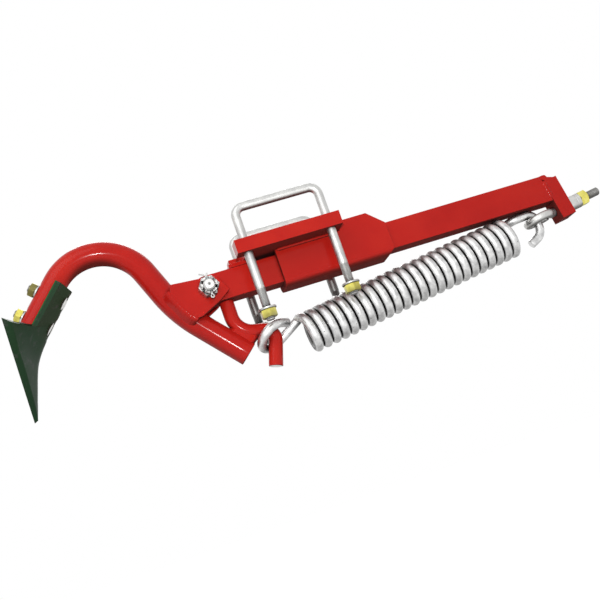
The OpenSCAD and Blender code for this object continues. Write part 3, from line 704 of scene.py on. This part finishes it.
# From the lug plates' rims down to the shank's flank
lug_edge = [(-50.5, 10.5), (-49.5, 6), (-47.6, 0.5), (-45.0, -6), (-41.6, -13), (-37.9, -19.6),
            (-33.5, -25.6), (-29, -31), (-25.2, -35.0)]
welds = []
for side, seed in ((-1, 3), (1, 4)):
    spots, ways, at = along([PIVOT + vec(a, 0, b) for a, b in lug_edge], 0.6)
    wob, wide = [np.interp(at, np.linspace(0, at[-1], 16), noise1(k, 16)) for k in (seed, seed + 20)]
    rings = []
    for p, way, d, w, q in zip(spots, ways, at, wob, wide):
        away = vec(way[2], 0, -way[0])
        if away @ (p - PIVOT) < 0:
            away = -away
        end = math.sqrt(np.clip(min(d, at[-1] - d) / 6, 0.02, 1))
        lump = 0.22 * abs(math.sin(d / 4.3 * math.pi + 2 * w)) + 0.3 * w
        reach = 9.5 * (0.75 + 0.25 * end) + 0.9 * q
        foot = shank_side(p + reach * away)
        steps = [(-2.2, LUG_FACE - 1.0),
                 (-1.6, LUG_FACE + 0.3 * end),
                 (0.4, LUG_FACE + (0.35 + 0.5 * lump) * end),
                 (0.28 * reach, LUG_FACE - 0.6 + (0.2 + lump) * end),
                 (0.55 * reach, (LUG_FACE * 0.62 + foot * 0.38) + lump * end),
                 (0.8 * reach, LUG_FACE * 0.25 + foot * 0.75 + 0.7 * lump * end),
                 (reach, foot + 0.3 * lump),
                 (reach + 0.8, foot - 1.6),
                 (0.4 * reach, foot - 4)]
        rings.append([p + u * away + vec(0, side * y, 0) for u, y in steps])
    welds.append(loft(rings))
v, f = join_parts(welds)
make("lug_weld_beads", v, f, RED, "tine", ["lug_welds"], sharp=70)

# Web that fills the corner between the shank's tail and the hook rod
TAIL_WAY = polar(TAIL_DIR)
rod_low = [ROD_CORNER + u * LEG for u in (38, 34, 30, corner_cut)]
rod_low += arc(corner_c, CORNER_BEND_R, 259, 196, 22)
tops, _, at = along(rod_low, 1.2)
wob = np.interp(at, np.linspace(0, at[-1], 12), noise1(31, 12))
half = [(0.0, 11.0), (0.25, 10.2), (0.45, 8.8), (0.65, 7.8), (0.85, 7.4), (1.0, 6.0)]
rings = []
for k, (p, w) in enumerate(zip(tops, wob)):
    t = k / (len(at) - 1)
    u = np.clip((p - TAIL_END) @ TAIL_WAY, 1.5, 60) * (0.6 + 0.4 * t) + 2.5
    low = TAIL_END + u * TAIL_WAY
    thick = math.sqrt(np.clip(min(t * 5, (1 - t) * 6), 0.02, 1))
    near = [low + (p - low) * x - vec(0, y * thick + 0.5 * w, 0) for x, y in half]
    far = [low + (p - low) * x + vec(0, y * thick + 0.5 * w, 0) for x, y in reversed(half)]
    rings.append(near + far)
v, f = loft(rings)
make("rod_weld_beads", v, f, RED, "tine", sharp=70)

# At the end plate: a heap in the step over its top and a run down each side
joint_up = polar(BOLT_TILT + 90)
heap = [(371.5, -22.7), (377, -22.0), (380.6, -22.5), (381.9, -24.2), (383.3, -26.6), (388.5, -28.0),
        (395.2, -29.9), (393.5, -34), (380, -33), (371.5, -26)]
heap_mid = vec(*np.mean(heap, axis=0))
rings = []
for y in np.linspace(-15.6, 15.6, 27):
    size = math.sqrt(np.clip(min(y + 16.4, 16.4 - y) / 4, 0.1, 1)) * (1 + 0.02 * math.sin(y * 1.6))
    rings.append([xz(heap_mid + (vec(*q) - heap_mid) * (0.86 + 0.14 * size), y) for q in heap])
welds = [loft(rings)]
for y, seed in ((-11.9, 41), (11.9, 42)):
    welds.append(bead([BEAM_END + u * joint_up + vec(0.6, y, 0) for u in (33, 20, 10, 1)], 10.5, seed))
v, f = join_parts(welds)
make("end_weld_beads", v, f, RED, "frame", sharp=60)

# Between the saddle's sides and the clamp plate
v, f = join_parts([bead([vec(x, side * 24.2, -PLATE_T - 0.9) for x in (-16, 10, 40, 66)], 5.5, seed)
                   for side, seed in ((-1, 51), (1, 52))])
make("saddle_weld_beads", v, f, RED, "frame", sharp=60)

# Pivot: bolt, castle nut and split pin

BOLT_POINT = [(0.02, 0.2), (1.9, 2.4), (2.2, 2.6), (5.9, 2.6), (7.2, 1.4), (7.2, -0.3)]


def on_pivot(y):
    return PIVOT + vec(0, y, 0)


parts = [moved(hex_nut(24, 10, 8, chamfer_low=False), axes(on_pivot(LUG_FACE), (0, 1, 0))),
         tube([on_pivot(y) for y in (LUG_FACE + 9, 0, -LUG_FACE - 1)], 8, 48, (0.5, 0.1)),
         moved(thread(18.9, 7.95, 2.0, 0.8, lead=0.5, sides=48), axes(on_pivot(-LUG_FACE - 0.5), (0, -1, 0))),
         moved(lathe(BOLT_POINT, 48, closed=False), axes(on_pivot(-LUG_FACE - 19.4), (0, -1, 0)))]
v, f = join_parts(parts)
make("pivot_bolt_forged", v, f, ZINC, "tine", ["pivot_bolt"], sharp=25)
from_cad("castle_nut_slotted", "castle_nut", 0.45, ZINC, segments=2, angle=24)

PIN_R = 0.95
PIN_MID = on_pivot(-LUG_FACE - 16)
PIN_LEGS = [[(-0.72, 0, -13.6), (-0.8, 0, 0), (-0.8, 0, 11.5), (-1.8, 0, 13.6), (-4.8, -0.4, 15.4),
             (-8.8, -1.0, 16.6)],
            [(0.72, 0, -13.6), (0.8, 0, 0), (0.8, 0, 11.5), (1.1, 0.2, 13.6), (1.6, 0.6, 16)]]
pin = []
for leg in PIN_LEGS:
    pts = [PIN_MID + vec(*q) for q in leg]
    dense = [p for a, b in zip(pts, pts[1:]) for p in line(a, b, 5)[:-1]] + pts[-1:]
    pin.append(tube(dense, PIN_R, 16, (0.2, 0.4)))
pin.append(tube(arc(PIN_MID + vec(0, 0, -15.2), 1.9, 62, -242, 26), PIN_R, 16, (0.2, 0.2)))
v, f = join_parts(pin)
make("cotter_pin_split", v, f, ZINC, "tine", ["cotter_pin"], sharp=60)

# Sweep: folded plate, finer than the part's own skin, flattened into seats round the bolt heads

FOLD = math.radians(31)
SWEEP_T, TANG_W, SWEEP_W = 6, 26, 150
CREST_OUT = (SHANK_R + 0.05 + SWEEP_T) / math.cos(FOLD)
HEAD_OUT = CREST_OUT - 2.5
POINT = FOOT_END + vec(-29, 0, -118.6)
WING_Z = FOOT_END[2] + 4.9
TANG_DROP = TANG_W * math.tan(FOLD)
TANG_S0, TANG_S1, TANG_EDGE_S1, WING_T0 = 64, 20, -3, 0.15
BEVEL_W, BEVEL_COLS = 8, 4


def crest_line(s):
    return FOOT_END - s * FOOT + CREST_OUT * FRONT


def crest(t):
    return bezier(crest_line(23), crest_line(-50), POINT + vec(28.1, 0, 69.2), POINT + vec(5.2, 0, 4.8), t)


def edge_point(e):
    return vec(POINT[0] + 1.6 * (1 - e), SWEEP_W / 2 * (1 - e), WING_Z + (POINT[2] - WING_Z) * e)


def back_step(way, thick):
    return thick / math.cos(FOLD) * vec(way[2], 0, -way[0])


def sweep_rows(tang_n=22, wing_n=56, cols=26):
    """Rows of points from the crest to one edge, down the tang and the wing, for both faces."""
    outer, inner = [], []
    flat_cols = cols - BEVEL_COLS
    fr = np.linspace(0, 1, cols + 1)
    for i in range(tang_n + 1):
        g = i / tang_n
        c = crest_line(TANG_S0 + (TANG_S1 - TANG_S0) * g)
        e = crest_line(TANG_S0 + (TANG_EDGE_S1 - TANG_S0) * g) + vec(0, TANG_W, 0) - TANG_DROP * FRONT
        row = [c + (e - c) * x for x in fr]
        step = back_step(FOOT, SWEEP_T)
        outer.append(row)
        inner.append([p + step for p in row])
    for k in range(wing_n + 1):
        e_k = 0.992 * (k + 0.6) / (wing_n + 0.6) if k else 0.0
        t_k = WING_T0 + (1 - WING_T0) * e_k
        way = unit(crest(min(t_k + 0.01, 1.0)) - crest(min(t_k + 0.01, 1.0) - 0.01))
        thick = SWEEP_T * (1 - 0.4 * e_k * e_k)
        step = back_step(way, thick)
        c, edge = crest(t_k), edge_point(e_k)
        target = edge - step
        reach = np.linalg.norm(target - c)
        start = max(0.5, 1 - BEVEL_W * (1 - 0.5 * e_k) / reach)
        row_o = [c + (target - c) * (start * j / flat_cols) for j in range(flat_cols + 1)]
        row_i = [p + step for p in row_o]
        p0, low = row_o[-1], edge - 0.15 * step
        for j in range(1, BEVEL_COLS + 1):
            row_o.append(p0 + (low - p0) * (j / BEVEL_COLS))
            row_i.append((p0 + step) + (edge - p0 - step) * (j / BEVEL_COLS))
        outer.append(row_o)
        inner.append(row_i)
    return np.array(outer), np.array(inner)


def round_crest(rows, amount=1.3, reach=5.0):
    """Rounds the fold along the crest."""
    out = rows.copy()
    for r in range(rows.shape[0]):
        way = unit(rows[min(r + 1, len(rows) - 1), 0] - rows[max(r - 1, 0), 0])
        back = vec(way[2], 0, -way[0])
        y = rows[r, :, 1]
        width = min(reach, max(y[-1], 0.5))
        out[r] += np.outer(amount * np.exp(-(y / (width * 0.5)) ** 2) * min(1, y[-1] / 12), back)
    return out


def press_seats(rows):
    """Flattens the outer face round each bolt head."""
    seat = HEAD_OUT + 0.25
    for row in rows:
        for j, p in enumerate(row):
            s, out = (FOOT_END - p) @ FOOT, (p - FOOT_END) @ FRONT
            for bolt_s in PLOUGH_S:
                d = math.hypot(s - bolt_s, p[1])
                if d < 15.5:
                    sink = min(seat - out, 0) * (1 - float(smoothstep((d - 11.3) / 4.0)))
                    p = p + FRONT * sink
                    out += sink
            row[j] = p


def full(rows):
    """Rows from edge to edge, mirrored about the crest."""
    left = rows[:, :0:-1].copy()
    left[..., 1] *= -1
    return np.concatenate([left, rows], axis=1)


outer, inner = sweep_rows()
outer = round_crest(outer)
press_seats(outer)
outer, inner = full(outer), full(inner)
R, M = outer.shape[:2]
verts = list(outer.reshape(-1, 3)) + list(inner.reshape(-1, 3))
n = R * M
faces = []
for r in range(R - 1):
    for j in range(M - 1):
        a = r * M + j
        b, c, d = a + 1, a + M + 1, a + M
        faces += [[a, b, c, d], [n + a, n + d, n + c, n + b]]
for j in range(M - 1):
    b = (R - 1) * M + j
    faces += [[j, n + j, n + j + 1, j + 1], [b, b + 1, n + b + 1, n + b]]
# Two more lines run along each side's edge face, near its back, for the strip of painted highlight
strips = []
for column in (0, M - 1):
    for part in (0.26, 0.2):
        strips.append(len(verts))
        verts += list(inner[:, column] * (1 - part) + outer[:, column] * part)
for r in range(R - 1):
    for column, pair, turn in ((0, strips[:2], 1), (M - 1, strips[2:], -1)):
        a, b = r * M + column, (r + 1) * M + column
        lines = [(a, b)] + [(k + r, k + r + 1) for k in pair] + [(n + a, n + b)]
        faces += [[p, q, t, u][::turn] for (p, q), (u, t) in zip(lines, lines[1:])]
share = make("sweep_share", verts, faces, GREEN, "tine", ["sweep"], sharp=38)
# Painted highlight: brighter green along the tang's edges, where they would catch the light
spots = spots_of(share)
down = -((spots - FOOT_END) @ FOOT)
across = np.abs(spots[:, 1])
depth = CREST_OUT - TANG_DROP - (spots - FOOT_END) @ FRONT
on_edge = (np.abs(across - TANG_W) < 0.8) & (down > -6) & (depth > 0.77 * SWEEP_T / math.cos(FOLD))
share.data.attributes.new("painted_edge_highlight", "FLOAT", "POINT").data.foreach_set("value", np.where(on_edge, 0.9, 0.0))

# Plough bolts: flush heads in the sweep, washers and nuts behind the shank

BACK = -FRONT
PLOUGH_NUT_H = 8.4
HEAD = [(0.01, 5.4), (5, 5.4), (9.7, 0.7), (10, 0.3), (9.8, 0.05), (8.5, -0.12), (5, -0.3), (0.01, -0.35)]
head_parts, nut_parts, washer_parts = [], [], []
for i, bolt_s in enumerate(PLOUGH_S):
    at = FOOT_END - bolt_s * FOOT
    seat = at + SEAT * BACK
    head_parts += [moved(lathe(HEAD, 64, closed=False), axes(at - HEAD_OUT * BACK, BACK)),
                   tube([at - (HEAD_OUT - 1) * BACK, seat], 5, 32, (0.1, 0.1)),
                   moved(thread(WASHER_T + PLOUGH_NUT_H + 2.5, 4.98, 1.5, 0.65, lead=1.0), axes(seat, BACK))]
    washer_parts.append(moved(washer(18, 10.3), axes(seat, BACK)))
    turn = unit(FOOT * math.cos(0.35 + i) + vec(0, 1, 0) * math.sin(0.35 + i))
    nut_parts.append(moved(hex_nut(17, PLOUGH_NUT_H, 9.8), axes(seat + WASHER_T * BACK, BACK, turn)))
v, f = join_parts(head_parts)
make("plough_bolt_pair", v, f, STEEL, "tine", ["plough_bolts"], sharp=30)
v, f = join_parts(washer_parts)
make("plough_washer_pair", v, f, ZINC, "tine", ["plough_washers"])
v, f = join_parts(nut_parts)
plough_nuts = make("plough_nut_pair", v, f, YELLOW, "tine", ["plough_nuts"], sharp=20)
# The upper plough nut is darker than the lower one
upward = (FOOT_END - spots_of(plough_nuts)) @ FOOT
set_dirt_and_shade(plough_nuts, np.where(upward > 26, 0.75, 0.1))

# Spring: one smooth wire from the loop round the hook rod to the hook in the eye

WIRE_D, COIL_R, COILS, COIL_GAP, SPRING_TILT = 12.4, 23.1, 24, 0.95, 7.8
AXIS_A, AXIS_N = polar(SPRING_TILT), polar(SPRING_TILT + 90)
ACROSS = vec(0, 1, 0)
PITCH = WIRE_D + COIL_GAP
COIL_START = vec(PIVOT[0] + 107.4, 0, BEAM_LOW - 71.7)
COIL_FIRST, COIL_LAST = 18, 360 * COILS - 92
knee_half = (180 - 98) / 2
seat_reach = (WIRE_D / 2 + ROD_R + 0.3) / math.sin(math.radians(knee_half))
LOOP_SEAT = ROD_KNEE + polar(180 - 10 + knee_half, seat_reach) + 4.6 * TIP - vec(1.75, 0, 0)
slope, roll = math.radians(24), math.radians(25)
LOOP_P = vec(math.cos(slope), 0, math.sin(slope))
LOOP_Q = vec(math.sin(roll) * math.sin(slope), math.cos(roll), -math.sin(roll) * math.cos(slope))
LOOP_R = 21
LOOP_C = LOOP_SEAT + LOOP_R * LOOP_P


def coil_at(a):
    t = math.radians(a)
    return COIL_START + PITCH * a / 360 * AXIS_A + COIL_R * (math.cos(t) * AXIS_N - math.sin(t) * ACROSS)


def coil_way(a):
    t = math.radians(a)
    return unit(PITCH / 360 * AXIS_A - COIL_R * math.pi / 180 * (math.sin(t) * AXIS_N + math.cos(t) * ACROSS))


def loop_at(a):
    t = math.radians(a)
    return LOOP_C + LOOP_R * (math.cos(t) * LOOP_P + math.sin(t) * LOOP_Q)


def loop_way(a):
    t = math.radians(a)
    return math.cos(t) * LOOP_Q - math.sin(t) * LOOP_P


def curve(p0, w0, p1, w1, n):
    return [bezier(p0, p0 + w0, p1 - w1, p1, i / n) for i in range(1, n)]


LOOP_FIRST, LOOP_LAST = 75, 322
run_way = -loop_way(LOOP_FIRST)
run_low = loop_at(LOOP_FIRST)
run_high = run_low + 31 * run_way
CORNER_R, CURL_R, CURL_TURN = 13.5, 17, 64
corner_centre = EYE_WIRE - vec(0.8, 0, 0.8)
curl_centre = vec(corner_centre[0] + CORNER_R - CURL_R, 0, EYE_WIRE[2] - 7.7)
hook_top = corner_centre + polar(94, CORNER_R) - polar(4, 11)
curl_end = curl_centre + polar(-CURL_TURN, CURL_R)
hook_end = curl_end + polar(-90 - CURL_TURN, WIRE_D)
coil_end = coil_at(COIL_LAST)
free_end = loop_at(LOOP_LAST) + WIRE_D * loop_way(LOOP_LAST)
wire = line_and_arcs([
    line(free_end, loop_at(LOOP_LAST), 5),
    [loop_at(a) for a in np.linspace(LOOP_LAST, LOOP_FIRST, 60)],
    line(run_low, run_high, 12),
    curve(run_high, 11 * run_way, coil_at(COIL_FIRST), 9 * coil_way(COIL_FIRST), 26),
    [coil_at(a) for a in np.arange(COIL_FIRST, COIL_LAST - 3, 8)],
    [coil_end],
    curve(coil_end, 20 * coil_way(COIL_LAST), hook_top, vec(16, 0, 1), 40),
    [hook_top],
    [corner_centre + polar(a, CORNER_R) for a in np.linspace(94, 0, 30)],
    [curl_centre + polar(-a, CURL_R) for a in np.linspace(0, CURL_TURN, 24)],
    line(curl_end, hook_end, 5)])
v, f = tube(wire, WIRE_D / 2, 24, (0.9, 0.9))
coil_mesh = make("spring_wire", v, f, SPRING_ZINC, None, ["spring", "spring_hook"], sharp=60)
# Dirt and painted shade where two coils face each other and on the coil's inner side
spots = spots_of(coil_mesh) - COIL_START
outs = np.array([p.normal[:] for p in coil_mesh.data.vertices])
run = spots @ AXIS_A
in_coil = np.clip(np.minimum(run + 4, PITCH * 23.9 - run) / 4, 0, 1)
facing = smoothstep((np.abs(outs @ AXIS_A) - 0.84) / 0.15)
inward = smoothstep((-(outs * (spots - np.outer(run, AXIS_A))).sum(1) / COIL_R - 0.1) / 0.5)
set_dirt_and_shade(coil_mesh, np.maximum(facing, inward * 0.8) * in_coil)
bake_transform(coil_mesh)

# Floor, light and camera

FLOOR_Z, FLOOR_HALF = -0.6, 40
corners = [(x * FLOOR_HALF, y * FLOOR_HALF, FLOOR_Z) for x, y in ((-1, -1), (1, -1), (1, 1), (-1, 1))]
floor_mesh = bpy.data.meshes.new("floor")
floor_mesh.from_pydata(corners, [], [(0, 1, 2, 3)])
floor = bpy.data.objects.new("floor", floor_mesh)
bpy.context.scene.collection.objects.link(floor)


def seen_directly(nt):
    """1 for rays from the camera, off gloss or through glass, else 0."""
    rays = node(nt, "ShaderNodeLightPath").outputs
    seen = node(nt, "ShaderNodeMath", [(rays["Is Camera Ray"], 0), (rays["Is Glossy Ray"], 1)],
                operation="MAXIMUM").outputs[0]
    return node(nt, "ShaderNodeMath", [(seen, 0), (rays["Is Transmission Ray"], 1)],
                operation="MAXIMUM").outputs[0]


# The floor glows almost white where it is seen, and is mid grey where it only lights the part
floor_material, fnt, unused_bsdf = new_material("pale_floor")
fnt.nodes.remove(unused_bsdf)
speckle = ramp(fnt, noise_tex(fnt, coordinates(fnt), 30, 2), [(0.3, grey(0.38)), (0.7, grey(0.4))])
diffuse = node(fnt, "ShaderNodeBsdfDiffuse", [(speckle.outputs["Color"], "Color")])
strength = node(fnt, "ShaderNodeMath", [(seen_directly(fnt), 0)], operation="MULTIPLY", in_1=0.84)
glow = node(fnt, "ShaderNodeEmission", [(strength.outputs[0], "Strength")])
floor_mix = node(fnt, "ShaderNodeAddShader", [(diffuse.outputs[0], 0), (glow.outputs[0], 1)])
fnt.links.new(floor_mix.outputs[0], fnt.nodes["Material Output"].inputs["Surface"])
floor_mesh.materials.append(floor_material)

# The world is white where it is seen, and dimmer where it only lights the part
world = bpy.data.worlds.new("studio")
bpy.context.scene.world = world
world.use_nodes = True
wnt = world.node_tree
ambient = wnt.nodes["Background"]
ambient.inputs["Color"].default_value = (1, 1, 1, 1)
ambient.inputs["Strength"].default_value = 0.45
plain = node(wnt, "ShaderNodeBackground", in_Color=(1, 1, 1, 1), in_Strength=1.0)
world_mix = node(wnt, "ShaderNodeMixShader",
                 [(seen_directly(wnt), 0), (ambient.outputs[0], 1), (plain.outputs[0], 2)])
wnt.links.new(world_mix.outputs[0], wnt.nodes["World Output"].inputs["Surface"])


def lamp(name, place_at, look_at, size, watts):
    data = bpy.data.lights.new(name, "AREA")
    data.shape = "RECTANGLE"
    data.size, data.size_y = size
    data.energy = watts
    obj = bpy.data.objects.new(name, data)
    bpy.context.scene.collection.objects.link(obj)
    obj.location = place_at
    obj.rotation_euler = (Vector(look_at) - Vector(place_at)).to_track_quat("-Z", "Y").to_euler()


lamp("key", (-0.9, -1.5, 1.4), (-0.05, 0, -0.05), (1.8, 1.6), 14)
lamp("flash", (-0.28, -1.42, -0.20), (0.0, 0, -0.05), (0.06, 0.06), 9)
lamp("back", (0.3, 1.8, 1.4), (0, 0, -0.05), (1.4, 0.7), 12)

# The camera as fitted to the photo, in metres
CAMERA_AT = Vector((-0.29499, -1.35839, -0.34843))
CAMERA_LOOK = Vector((0.20626, 0.96095, 0.18446))
CAMERA_UP = Vector((0.28715, -0.23966, 0.92742))
cam_data = bpy.data.cameras.new("camera")
cam_data.sensor_width = 36
cam_data.lens = 64.168
cam_data.clip_start = 0.01
cam = bpy.data.objects.new("camera", cam_data)
bpy.context.scene.collection.objects.link(cam)
look = CAMERA_LOOK.normalized()
right = look.cross(CAMERA_UP.normalized()).normalized()
up = right.cross(look)
turned_to = Matrix((right, up, -look)).transposed().to_4x4()
cam.matrix_world = Matrix.Translation(CAMERA_AT) @ turned_to
bpy.context.scene.camera = cam
bpy.context.scene.view_settings.view_transform = "Standard"

bpy.context.view_layer.update()
